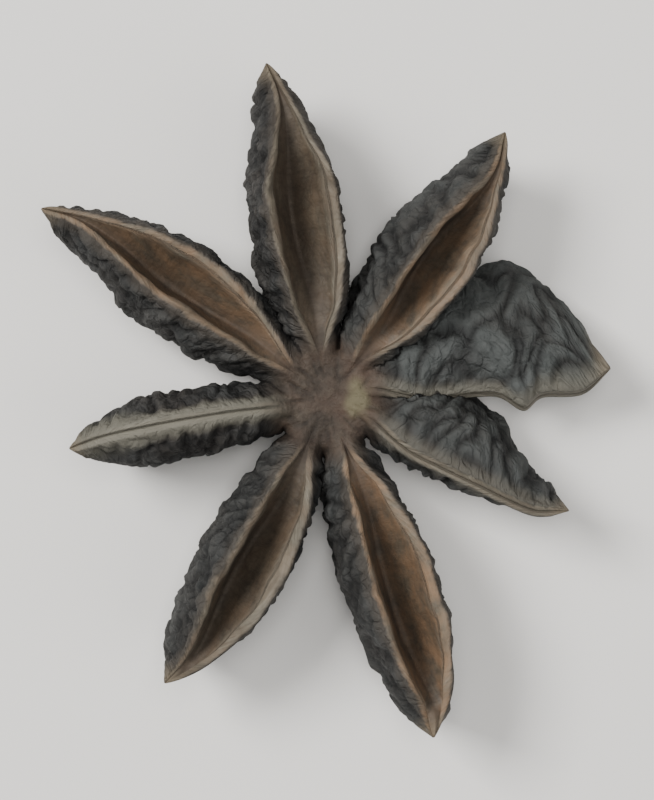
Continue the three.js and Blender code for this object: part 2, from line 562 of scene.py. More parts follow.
    def cut(self, place: float) -> Cut:
        """Cuts the carpel across.

        Args:
            place: where, as a share of the reach.

        Returns:
            The section's sizes.
        """
        plan = self.plan
        opening = max(self.opening.at(place / plan.split), 0.0) if self.is_open else 0.0
        full = 1 - plan.taper * smoothstep(*self.tapering, place)
        depth = self.depth.at(place) * (1 - self.slim_depth * (1 - plan.girth)) * full
        half = self.half.at(place) * plan.girth * full
        gap = min(self.groove + opening * plan.gape, half * (1 - self.narrowest_side))
        lip = gap + mix(self.shut_lip, self.lip_width, opening)
        groove_depth = min(self.groove_depth, depth * self.groove_share)
        past = max(place - self.tip_round, 0.0) / (1 - self.tip_round)
        return Cut(
            place=place,
            opening=opening,
            depth=depth,
            half=half,
            gap=gap,
            lip=min(lip, half * (1 - self.narrowest_rim)),
            drop=self.lip_drop * opening,
            hollow_depth=mix(groove_depth, depth - self.keel_wall, opening),
            roll=math.radians(plan.roll) * smoothstep(*self.twist, place),
            round_off=math.sqrt(max(1 - past ** self.tip_power, self.tip_least)),
        )

    def wall_point(self, share: float, lip: float, half: float, depth: float) -> Pair:
        """A point between a lip and the middle of the section below it.

        Args:
            share: 0 at the lip and 1 at the middle.
            lip: half the width at the lip.
            half: half the width where the wall stands furthest out.
            depth: how deep the wall goes.

        Returns:
            The distance from the section's middle, and the height above the seam.
        """
        if share < self.widest:
            rise = share / self.widest
            return lip + (half - lip) * math.sin(math.pi / 2 * rise), -depth * self.widest * rise
        angle = math.pi / 2 * (share - self.widest) / (1 - self.widest)
        below = self.widest + (1 - self.widest) * math.sin(angle)
        return half * math.cos(angle), -depth * below

    def rim_noise(self, along: float, side: int, lane: int) -> float:
        """Smooth noise along a rim, of which each side and lane has its own."""
        return ripple(along, side * self.side_step + lane, self.seed)

    def section_point(self, cut: Cut, spot: Spot, wavy: bool) -> Pair:
        """Where a spot of the ring lies in its section.

        Args:
            cut: the section's sizes.
            spot: the spot on its ring.
            wavy: whether the rims wander as torn rims do.

        Returns:
            Left of the section's middle, and above the seam, in millimetres.
        """
        gap, lip = cut.gap, cut.lip
        rim = self.plan.peak * math.exp(-(((cut.place - self.peak_place) / self.peak_spread) ** 2))
        if wavy and cut.opening > 0:
            along = cut.place * self.plan.reach / self.rim_size
            wave = self.rim_wave * cut.parted
            gap += wave * self.rim_sway * self.rim_noise(along * self.gap_pace, spot.side, self.gap_lane)
            lip += wave * self.rim_sway * self.rim_noise(along, spot.side, self.lip_lane)
            lip = min(max(lip, gap + self.shut_lip), cut.half)
            rim += wave * self.rim_noise(along * self.rise_pace, spot.side, self.rise_lane)
            torn = self.rim_noise(along * self.rim_size / self.nick_size, spot.side, self.nick_lane)
            rim -= self.nick * cut.parted * max(torn - self.nick_level, 0)
        if spot.zone is Zone.FLANK:
            x, z = self.wall_point(spot.share, lip, cut.half, cut.depth)
            z += rim * (1 - spot.share) ** self.rim_power
        elif spot.zone is Zone.LIP:
            bulge = mix(*self.lip_bulge, cut.opening) * math.sin(math.pi * spot.share)
            x = mix(lip, gap, spot.share)
            z = rim - cut.drop * spot.share ** self.lip_slope + bulge
        else:
            x = gap * (1 - spot.share ** self.hollow_bow) ** self.hollow_round
            below_lip = (cut.hollow_depth - cut.drop) * spot.share
            z = rim * (1 - spot.share) ** self.rim_power - cut.drop - below_lip
        return spot.side * x, z

    def husk_fold(self, cut: Cut, spot: Spot) -> float:
        """Works out the broad folds that the solid has too.

        Args:
            cut: the section's sizes.
            spot: a spot on a flank.

        Returns:
            How much larger the section is there than without them.
        """
        across = spot.share / 2 if spot.side > 0 else 1 - spot.share / 2
        height = 0.0
        for along, turn, step, size in self.broad_folds:
            height += size * math.sin(along * cut.place + turn * (2 * across - 1) + step * self.number)
        fade = math.sin(math.pi * across) * math.sin(math.pi * cut.place)
        return 1 + height * fade / max(self.half.at(cut.place), self.least_half)

    def to_fruit(self, cut: Cut, x: float, z: float) -> Vector:
        """Moves a point of a section to its place in the fruit, before the carpel sags.

        Args:
            cut: the section's sizes.
            x: how far the point is left of the section's middle.
            z: how far it is above the seam.

        Returns:
            The point from the column's axis, in millimetres.
        """
        plan = self.plan
        middle = -cut.depth / 2
        x *= cut.round_off
        z = middle + (z - middle) * cut.round_off
        pivot = self.pivot * self.depth.at(cut.place)
        sideways = x * math.cos(cut.roll) - (z + pivot) * math.sin(cut.roll)
        upward = x * math.sin(cut.roll) + (z + pivot) * math.cos(cut.roll)
        bow = plan.sweep * math.sin(math.pi * cut.place) + plan.curl * cut.place ** self.curl_power
        height = self.seam.at(cut.place) - pivot + upward
        point = Vector((cut.place * plan.reach, sideways + bow, height))
        return Matrix.Rotation(math.radians(plan.bearing), 3, "Z") @ point

    def flank_length(self, cut: Cut, share: float) -> float:
        """About how far a flank's spot lies from the keel, round the section."""
        return (1 - share) * (cut.depth + self.flank_bow * cut.half)

    def mesh(self) -> bmesh.types.BMesh:
        """Builds the carpel.

        Returns:
            Its closed mesh in millimetres, with the masks that its finish reads on its vertices.
        """
        spots = self.ring()
        bm = bmesh.new()
        bmesh.ops.create_grid(bm, x_segments=len(spots), y_segments=self.stations, size=1)
        masks = add_masks(bm)
        cuts = [self.cut(mix(self.start, 1, i / self.stations)) for i in range(self.stations + 1)]
        relief: dict[bmesh.types.BMVert, float] = {}
        sag = math.inf
        for vert in bm.verts:
            spot = spots[round((vert.co.x + 1) / 2 * len(spots)) % len(spots)]
            cut = cuts[round((vert.co.y + 1) / 2 * self.stations)]
            x, z = self.section_point(cut, spot, wavy=True)
            if spot.zone is Zone.FLANK:
                scale = self.husk_fold(cut, spot)
                x, z = x * scale, z * scale
            vert.co = self.to_fruit(cut, x, z)
            relief[vert] = self.dress(vert, masks, cut, spot)
            share = smoothstep(*self.sag, cut.place)
            vert[masks["sag"]] = share
            if share > 0:
                sag = min(sag, (vert.co.z - self.plan.lift) / share)
        for vert in bm.verts:
            vert.co.z -= sag * vert[masks["sag"]]
        bmesh.ops.reverse_faces(bm, faces=bm.faces)
        bm.normal_update()
        for vert, height in relief.items():
            vert.co += vert.normal * height
        bmesh.ops.remove_doubles(bm, verts=bm.verts, dist=self.weld)
        ends = [edge for edge in bm.edges if edge.is_boundary]
        caps = bmesh.ops.holes_fill(bm, edges=ends, sides=0)["faces"]
        bmesh.ops.triangulate(bm, faces=caps)
        bmesh.ops.recalc_face_normals(bm, faces=bm.faces)
        return bm

    def dress(self, vert: bmesh.types.BMVert, masks: Masks, cut: Cut, spot: Spot) -> float:
        """Writes a vertex's masks.

        Args:
            vert: the vertex, already in the fruit.
            masks: the layers to write.
            cut: the section that it is on.
            spot: its spot on the ring.

        Returns:
            How far the relief moves it outward, in millimetres.
        """
        along = cut.place * self.plan.reach
        base = smoothstep(*self.relief_start, cut.place) * smoothstep(*self.relief_end, cut.place)
        below = 0.0
        if spot.zone is Zone.FLANK:
            around = spot.side * self.flank_length(cut, spot.share)
            below = self.flank_length(cut, 0) - abs(around)
            height = self.husk.height(along, around, self.seed) * smoothstep(0, self.lip_fade, below) * base
            vert[masks["ridge"]] = self.husk.folds(along, around, self.seed)
            vert[masks["edge"]] = 1 - smoothstep(0, self.edge_fade, below)
        elif spot.zone is Zone.LIP:
            around = spot.side * (self.flank_length(cut, 0) + spot.share * self.lip_width)
            fibres = ripple(along / self.fibre_size[0], around / self.fibre_size[1], self.seed)
            height = self.fibre * fibres * math.sin(math.pi * spot.share) * base
            vert[masks["lip"]] = 1.0
            vert[masks["ridge"]] = self.lip_ridge
            vert[masks["edge"]] = 1.0
            vert[masks["across"]] = spot.share
            vert[masks["lining"]] = smoothstep(*self.lip_lining, spot.share)
        else:
            around = spot.side * (1 - spot.share) * (cut.hollow_depth + cut.gap)
            inner = smoothstep(0, self.hollow_start, spot.share) * cut.opening
            height = self.lining.height(along, around, self.seed) * inner
            vert[masks["lining"]] = 1.0
            # the depth share drives the painted shade toward the hollow's floor, and in a shut groove
            vert[masks["deep"]] = mix(self.groove_deep, spot.share, cut.opening)
            vert[masks["lip"]] = (1 - smoothstep(*self.lip_inside, spot.share)) * cut.parted
            vert[masks["across"]] = 1.0
        vert[masks["place"]] = Vector((along, around, self.seed))
        bleached = mix(*self.bleach, smoothstep(*self.bleach_end, cut.place) * self.plan.pale)
        pale = self.plan.pale * smoothstep(*self.bleach_start, cut.place)
        vert[masks["pale"]] = pale * (1 - smoothstep(self.bleach_edge, bleached, below))
        vert[masks["beak"]] = smoothstep(*self.beak_fade, cut.place)
        vert[masks["warmth"]] = self.plan.warmth
        # this carpel's share of painted light and sheen on its husk
        vert[masks["painted_sheen"]] = self.plan.painted_sheen
        return height


# ---------------------------------------------------------------- column and stalk


@dataclass
class Column:
    """The short column that carries the carpels, its tip, and the stalk's stub below it."""

    outline: tuple[Pair, ...] = (
        (0, 0.62), (0.72, 0.55), (1.18, 0.68), (1.27, 0.98), (1.1, 1.5), (1.3, 2.1), (2.0, 2.7),
        (2.5, 3.4), (2.35, 4.25), (1.7, 4.68), (0.9, 4.82), (0, 4.84),
    )
    cuts: int = 3
    steps: int = 96
    weld: float = 1e-4
    roughness: float = 0.09
    lobe_turns: float = 3
    lobe_pace: float = 0.6
    grain_pace: float = 2.3
    grain_share: float = 0.6
    stub_fade: Pair = (1.4, 1.9)
    scar_depth: float = 0.16
    scar_radius: Pair = (0.55, 0.95)
    scar_height: float = 0.9

    def mesh(self) -> bmesh.types.BMesh:
        """Spins the outline round the axis, roughens it and sinks the scar.

        Returns:
            The closed mesh in millimetres, with its masks.
        """
        bm = bmesh.new()
        masks = add_masks(bm)
        chain = [bm.verts.new((radius, 0, height)) for radius, height in self.outline]
        edges = [bm.edges.new(pair) for pair in zip(chain, chain[1:])]
        bmesh.ops.subdivide_edges(bm, edges=edges, cuts=self.cuts)
        bmesh.ops.spin(
            bm, geom=bm.verts[:] + bm.edges[:], cent=(0, 0, 0), axis=(0, 0, 1),
            angle=math.tau, steps=self.steps, use_merge=True,
        )
        bmesh.ops.remove_doubles(bm, verts=bm.verts, dist=self.weld)
        relax(bm, bm.verts)
        bmesh.ops.recalc_face_normals(bm, faces=bm.faces)
        for vert in bm.verts:
            turn = math.atan2(vert.co.y, vert.co.x)
            around = (self.lobe_turns * math.cos(turn), self.lobe_turns * math.sin(turn))
            lobes = ripple(*around, vert.co.z * self.lobe_pace)
            grain = noise.noise(vert.co * self.grain_pace)
            vert.co += vert.normal * self.roughness * (lobes + self.grain_share * grain)
            if vert.co.z < self.scar_height:
                vert.co.z += self.scar_depth * (1 - smoothstep(*self.scar_radius, vert.co.xy.length))
            vert[masks["stub"]] = 1 - smoothstep(*self.stub_fade, vert.co.z)
            vert[masks["place"]] = vert.co
            # the lobes steer painted shade and light: the column is darker between its lobes and lighter on
            # them
            vert[masks["ridge"]] = 0.5 + 0.5 * lobes
        return bm


# ---------------------------------------------------------------- finishes


@dataclass(frozen=True)
class Layer:
    """One surface of the fruit: its colours, its patterns per millimetre, gloss and relief."""

    dark: Shade
    light: Shade
    warm: Shade
    grain: float
    stretch: Pair
    cracked: float
    rough: Pair
    relief: float


HUSK = Layer(
    dark=(20, 20, 19), light=(51, 50, 48), warm=(47, 43, 39), grain=3.2, stretch=(1.0, 0.8),
    cracked=0.75, rough=(0.6, 0.85), relief=1.0,
)
LIP = Layer(
    dark=(70, 65, 56), light=(109, 103, 90), warm=(91, 81, 69), grain=1.8, stretch=(0.3, 3.2),
    cracked=0.2, rough=(0.5, 0.72), relief=0.7,
)
LINING = Layer(
    dark=(40, 36, 30), light=(79, 72, 61), warm=(69, 59, 48), grain=2.2, stretch=(1.5, 0.4),
    cracked=0.25, rough=(0.42, 0.62), relief=0.5,
)
STALK = Layer(
    dark=(82, 68, 51), light=(140, 122, 95), warm=(112, 86, 60), grain=2.6, stretch=(1, 1),
    cracked=0.6, rough=(0.6, 0.85), relief=1.0,
)
HUB = Layer(
    dark=(37, 31, 26), light=(67, 58, 48), warm=(67, 53, 43), grain=2.8, stretch=(1, 1),
    cracked=0.2, rough=(0.55, 0.8), relief=0.9,
)

PATTERNS = ("Mottle", "Patches", "Whole")


@dataclass(frozen=True)
class Ramp:
    """Maps low to high onto start to end, and holds it there outside."""

    low: float
    high: float
    start: float = 0
    end: float = 1


@dataclass(frozen=True)
class Cloud:
    """A fractal noise: its scale, as a number or a socket, its detail and its roughness."""

    scale: object
    detail: float
    roughness: float


@dataclass
class NodeKit:
    """Adds nodes to one tree and links them. An object given as input is a socket or a value."""

    tree: bpy.types.NodeTree

    def add(self, kind: str, inputs: Inputs | None = None, **settings: object) -> bpy.types.Node:
        """Adds a node.

        Args:
            kind: its type.
            inputs: what goes into its inputs, by name or number.
            settings: its own settings.

        Returns:
            The node.
        """
        node = self.tree.nodes.new(kind)
        for name, value in settings.items():
            setattr(node, name, value)
        for name, value in (inputs or {}).items():
            if isinstance(value, Socket):
                self.tree.links.new(value, node.inputs[name])
            else:
                node.inputs[name].default_value = value
        return node

    def attribute(self, name: str) -> bpy.types.Node:
        """Reads a vertex layer of the mesh."""
        return self.add("ShaderNodeAttribute", attribute_name=name)

    def layer(self, name: str) -> Socket:
        """A vertex layer of the mesh as a number."""
        return self.attribute(name).outputs["Fac"]

    def noise(self, vector: object, cloud: Cloud) -> Socket:
        """A fractal noise as a number."""
        kind = {"Scale": cloud.scale, "Detail": cloud.detail, "Roughness": cloud.roughness}
        return self.add("ShaderNodeTexNoise", {"Vector": vector} | kind).outputs["Fac"]

    def math(self, operation: str, first: object, second: object) -> Socket:
        """A sum, product or other number made of two."""
        return self.add("ShaderNodeMath", {0: first, 1: second}, operation=operation).outputs[0]

    def times(self, first: object, second: object) -> Socket:
        """A product of two numbers."""
        return self.math("MULTIPLY", first, second)

    def vector_math(self, operation: str, first: object, second: object) -> Socket:
        """A vector made of two."""
        return self.add("ShaderNodeVectorMath", {0: first, 1: second}, operation=operation).outputs["Vector"]

    def ramp(self, value: object, ramp: Ramp) -> Socket:
        """A number mapped as a ramp says."""
        ends = {"From Min": ramp.low, "From Max": ramp.high, "To Min": ramp.start, "To Max": ramp.end}
        return self.add("ShaderNodeMapRange", {"Value": value} | ends).outputs["Result"]

    def mix_value(self, share: object, first: object, second: object) -> Socket:
        """A number between two."""
        return self.add("ShaderNodeMix", {0: share, 2: first, 3: second}, data_type="FLOAT").outputs[0]

    def mix_color(self, share: object, first: object, second: object, blend: str = "MIX") -> Socket:
        """A colour between two, or the first one multiplied or otherwise blended."""
        inputs = {0: share, 6: first, 7: second}
        return self.add("ShaderNodeMix", inputs, data_type="RGBA", blend_type=blend).outputs[2]

    def shade(self, color: object, amount: object) -> Socket:
        """A colour made darker or lighter by a number."""
        grey = self.add("ShaderNodeCombineColor", {0: amount, 1: amount, 2: amount})
        return self.mix_color(1.0, color, grey.outputs["Color"], "MULTIPLY")


@dataclass(frozen=True)
class TissueGroups:
    """Builds the shader groups that the material places. Scales are per millimetre."""

    mottle: Cloud = Cloud(0.65, 3, 0.55)
    patches: Cloud = Cloud(0.42, 4, 0.6)
    patch_shift: tuple[float, float, float] = (7, 3, 5)
    patch_ramp: Ramp = Ramp(0.42, 0.66, 0, 0.8)
    swirl_scale: float = 1.1
    cell_scale: float = 1.7
    crack_ramp: Ramp = Ramp(0, 0.16)
    grain_detail: float = 6
    grain_roughness: float = 0.62
    mottle_share: float = 0.55
    grain_share: float = 0.45
    color_ramp: Ramp = Ramp(0.34, 0.66)
    crack_shade: Ramp = Ramp(0, 1, 0.35, 1)
    grain_relief: float = 1.1
    crack_relief: float = 0.4

    @staticmethod
    def start(name: str, inputs: dict[str, str], outputs: dict[str, str]) -> NodeKit:
        """Starts a group.

        Args:
            name: its name.
            inputs: the kind of each input.
            outputs: the kind of each output.

        Returns:
            What adds nodes to it.
        """
        tree = bpy.data.node_groups.new(name, "ShaderNodeTree")
        for way, sockets in (("INPUT", inputs), ("OUTPUT", outputs)):
            for title, kind in sockets.items():
                tree.interface.new_socket(title, in_out=way, socket_type=f"NodeSocket{kind}")
        return NodeKit(tree)

    def patterns(self) -> bpy.types.NodeTree:
        """The patterns that all the tissues share.

        Returns:
            A group that turns a place in millimetres into broad mottling, warm patches, and whole
            skin, which is 0 in the fine cracks.
        """
        nodes = self.start("tissue patterns", {"Place": "Vector"}, dict.fromkeys(PATTERNS, "Float"))
        place = nodes.add("NodeGroupInput").outputs["Place"]
        patches = nodes.noise(nodes.vector_math("ADD", place, self.patch_shift), self.patches)
        swirl = nodes.add("ShaderNodeTexNoise", {"Vector": place, "Scale": self.swirl_scale})
        swirled = nodes.vector_math("ADD", place, swirl.outputs["Color"])
        cells = nodes.add(
            "ShaderNodeTexVoronoi", {"Vector": swirled, "Scale": self.cell_scale}, feature="DISTANCE_TO_EDGE",
        )
        nodes.add("NodeGroupOutput", {
            "Mottle": nodes.noise(place, self.mottle),
            "Patches": nodes.ramp(patches, self.patch_ramp),
            "Whole": nodes.ramp(cells.outputs["Distance"], self.crack_ramp),
        })
        return nodes.tree

    def layer(self) -> bpy.types.NodeTree:
        """Mottled, grained and cracked dry plant tissue.

        Returns:
            A group that turns a place in millimetres and the shared patterns into a colour, a
            roughness and a height.
        """
        numbers = (*PATTERNS, "Grain Scale", "Cracked", "Rough Low", "Rough High", "Relief")
        inputs = {"Place": "Vector", "Stretch": "Vector", "Dark": "Color", "Light": "Color", "Warm": "Color"}
        outputs = {"Color": "Color", "Roughness": "Float", "Height": "Float"}
        nodes = self.start("dry tissue", inputs | dict.fromkeys(numbers, "Float"), outputs)
        given = nodes.add("NodeGroupInput").outputs
        pulled = nodes.vector_math("MULTIPLY", given["Place"], given["Stretch"])
        grain = nodes.noise(pulled, Cloud(given["Grain Scale"], self.grain_detail, self.grain_roughness))
        mottle = nodes.times(given["Mottle"], self.mottle_share)
        spread = nodes.ramp(nodes.math("ADD", mottle, nodes.times(grain, self.grain_share)), self.color_ramp)
        color = nodes.mix_color(spread, given["Dark"], given["Light"])
        color = nodes.mix_color(given["Patches"], color, given["Warm"])
        whole = nodes.mix_value(given["Cracked"], 1.0, given["Whole"])
        raised = nodes.times(grain, self.grain_relief)
        relief = nodes.math("ADD", raised, nodes.times(whole, self.crack_relief))
        nodes.add("NodeGroupOutput", {
            "Color": nodes.shade(color, nodes.ramp(whole, self.crack_shade)),
            "Roughness": nodes.mix_value(spread, given["Rough High"], given["Rough Low"]),
            "Height": nodes.times(relief, given["Relief"]),
        })
        return nodes.tree


@dataclass(frozen=True)
class FruitFinish:
    """The finish of the whole fruit: husk, lips, lining, hub and stalk, mixed by vertex layers.

    The husk gets painted shade in its creases and painted light on its crests, bloom greys its
    worn crests, a grey of painted light and sheen lies on its crests by each carpel's share, and
    rim_brown warms it under the lips. glow colours the hollows, painted shade darkens them toward
    their floor and along the shut grooves, and blush colours the lips. The hub gets painted shade in
    its creases. marks are the layers that are tinted last, with the share and the colour of each.
    Clouds and ramps are named for what they vary.
    """

    pattern_group: bpy.types.NodeTree
    layer_group: bpy.types.NodeTree
    bump: float = 0.14
    gloss: float = 0.25
    # painted shade in the husk's creases and painted light on the crests of its folds
    crease_shade_ramp: Ramp = Ramp(0.05, 0.85, 0.45, 1.15)
    bloom: Shade = (56, 57, 56)
    bloom_cloud: Cloud = Cloud(0.35, 3, 0.6)
    bloom_ramp: Ramp = Ramp(0.45, 0.68, 0, 0.55)
    # painted light and sheen: a light grey laid on the husk's crests, by each carpel's share
    painted_sheen: Shade = (69, 72, 70)
    painted_sheen_ramp: Ramp = Ramp(0.05, 0.9, 0.1, 0.75)
    rim_brown: Shade = (66, 59, 51)
    rim_share: float = 0.5
    lip_cloud: Cloud = Cloud(1.4, 4, 0.6)
    lip_middle: float = 0.5
    lip_ramp: Ramp = Ramp(0.1, 0.5)
    glow: Shade = (96, 75, 56)
    glow_cloud: Cloud = Cloud(0.8, 4, 0.65)
    glow_ramp: Ramp = Ramp(0.38, 0.62, 0.1, 0.85)
    blush: Shade = (127, 101, 77)
    blush_share: float = 0.8
    # painted shade: the hollows darken toward their floor and along the shut grooves
    pit_shade: Shade = (44, 36, 29)
    pit_ramp: Ramp = Ramp(0.5, 1, 0, 0.55)
    pit_rough: float = 0.95
    # painted shade in the hub's creases and between the column's lobes
    hub_shade_ramp: Ramp = Ramp(0, 0.8, 0.6, 1.04)
    marks: tuple[tuple[str, float, Shade], ...] = (
        ("pale", 0.85, (106, 103, 92)), ("tip", 0.8, (95, 89, 68)), ("beak", 0.6, (112, 101, 84)),
    )

    def place_patterns(self, nodes: NodeKit, place: Socket) -> bpy.types.Node:
        """Places the shared patterns at a place in millimetres."""
        return nodes.add("ShaderNodeGroup", {"Place": place}, node_tree=self.pattern_group)

    def place_layer(
        self, nodes: NodeKit, layer: Layer, patterns: bpy.types.Node, place: Socket,
    ) -> bpy.types.Node:
        """Places the shared group with a layer's own values.

        Args:
            nodes: the material's nodes.
            layer: the values.
            patterns: the patterns that the layer shares.
            place: the place in millimetres that its own grain follows.

        Returns:
            The placed group.
        """
        shared = {name: patterns.outputs[name] for name in PATTERNS}
        own = {
            "Dark": linear(layer.dark), "Light": linear(layer.light), "Warm": linear(layer.warm),
            "Grain Scale": layer.grain, "Stretch": (*layer.stretch, 1), "Cracked": layer.cracked,
            "Rough Low": layer.rough[0], "Rough High": layer.rough[1], "Relief": layer.relief,
        }
        return nodes.add("ShaderNodeGroup", shared | own | {"Place": place}, node_tree=self.layer_group)

    def husk_color(self, nodes: NodeKit, husk: bpy.types.Node, place: Socket) -> Socket:
        """Colours the husk: painted shade in the creases and painted light on the crests, greyer on
        worn crests, a grey of painted light and sheen on some carpels, and browner at the lips.

        Args:
            nodes: the material's nodes.
            husk: the husk's placed group.
            place: the place in millimetres.

        Returns:
            The colour.
        """
        ridge = nodes.layer("ridge")
        # painted shade: the husk darkens in the creases of the folds, and painted light lightens it on their
        # crests
        color = nodes.shade(husk.outputs["Color"], nodes.ramp(ridge, self.crease_shade_ramp))
        worn = nodes.times(nodes.ramp(nodes.noise(place, self.bloom_cloud), self.bloom_ramp), ridge)
        color = nodes.mix_color(worn, color, linear(self.bloom))
        # painted light and sheen: a light grey on the crests, by the carpel's share
        sheened = nodes.times(nodes.layer("painted_sheen"), nodes.ramp(ridge, self.painted_sheen_ramp))
        color = nodes.mix_color(sheened, color, linear(self.painted_sheen))
        edge = nodes.times(nodes.layer("edge"), self.rim_share)
        return nodes.mix_color(edge, color, linear(self.rim_brown))

    def material(self) -> bpy.types.Material:
        """Builds the material.

        Returns:
            The finish of the whole piece.
        """
        material, shader = new_material("dried star anise")
        nodes = NodeKit(material.node_tree)
        place = nodes.attribute("place").outputs["Vector"]
        patterns = self.place_patterns(nodes, place)
        husk, lip, lining = (
            self.place_layer(nodes, layer, patterns, place) for layer in (HUSK, LIP, LINING)
        )
        point = nodes.add("ShaderNodeTexCoord").outputs["Object"]
        middle = nodes.vector_math("MULTIPLY", point, (1 / MM,) * 3)
        patterns = self.place_patterns(nodes, middle)
        stalk, hub = (self.place_layer(nodes, layer, patterns, middle) for layer in (STALK, HUB))

        uneven = nodes.math("SUBTRACT", nodes.noise(place, self.lip_cloud), self.lip_middle)
        across = nodes.math("ADD", nodes.layer("across"), uneven)
        band = nodes.times(nodes.ramp(across, self.lip_ramp), nodes.layer("lip"))
        clouds = nodes.ramp(nodes.noise(place, self.glow_cloud), self.glow_ramp)
        glow = nodes.times(nodes.layer("warmth"), clouds)
        inside = nodes.mix_color(glow, lining.outputs["Color"], linear(self.glow))
        # painted shade, darker toward the hollow's floor and in the shut grooves
        deep = nodes.ramp(nodes.layer("deep"), self.pit_ramp)
        inside = nodes.mix_color(deep, inside, linear(self.pit_shade))
        blush = nodes.times(glow, self.blush_share)
        rim = nodes.mix_color(blush, lip.outputs["Color"], linear(self.blush))
        # painted shade: the hub darkens in its creases
        folded = nodes.shade(hub.outputs["Color"], nodes.ramp(nodes.layer("ridge"), self.hub_shade_ramp))

        color = self.husk_color(nodes, husk, place)
        rough, height = husk.outputs["Roughness"], husk.outputs["Height"]
        for share, layer, tint in (
            (nodes.layer("lining"), lining, inside),
            (band, lip, rim),
            (nodes.layer("hub"), hub, folded),
            (nodes.layer("stub"), stalk, stalk.outputs["Color"]),
        ):
            color = nodes.mix_color(share, color, tint)
            rough = nodes.mix_value(share, rough, layer.outputs["Roughness"])
            height = nodes.mix_value(share, height, layer.outputs["Height"])
        for name, share, tint in self.marks:
            color = nodes.mix_color(nodes.times(nodes.layer(name), share), color, linear(tint))

        bump = nodes.add("ShaderNodeBump", {"Strength": 1.0, "Distance": self.bump * MM, "Height": height})
        rough = nodes.mix_value(deep, rough, self.pit_rough)
        shader.inputs["Specular IOR Level"].default_value = self.gloss
        for name, socket in (("Base Color", color), ("Roughness", rough), ("Normal", bump.outputs["Normal"])):
            material.node_tree.links.new(socket, shader.inputs[name])
        return material


# ---------------------------------------------------------------- the fruit


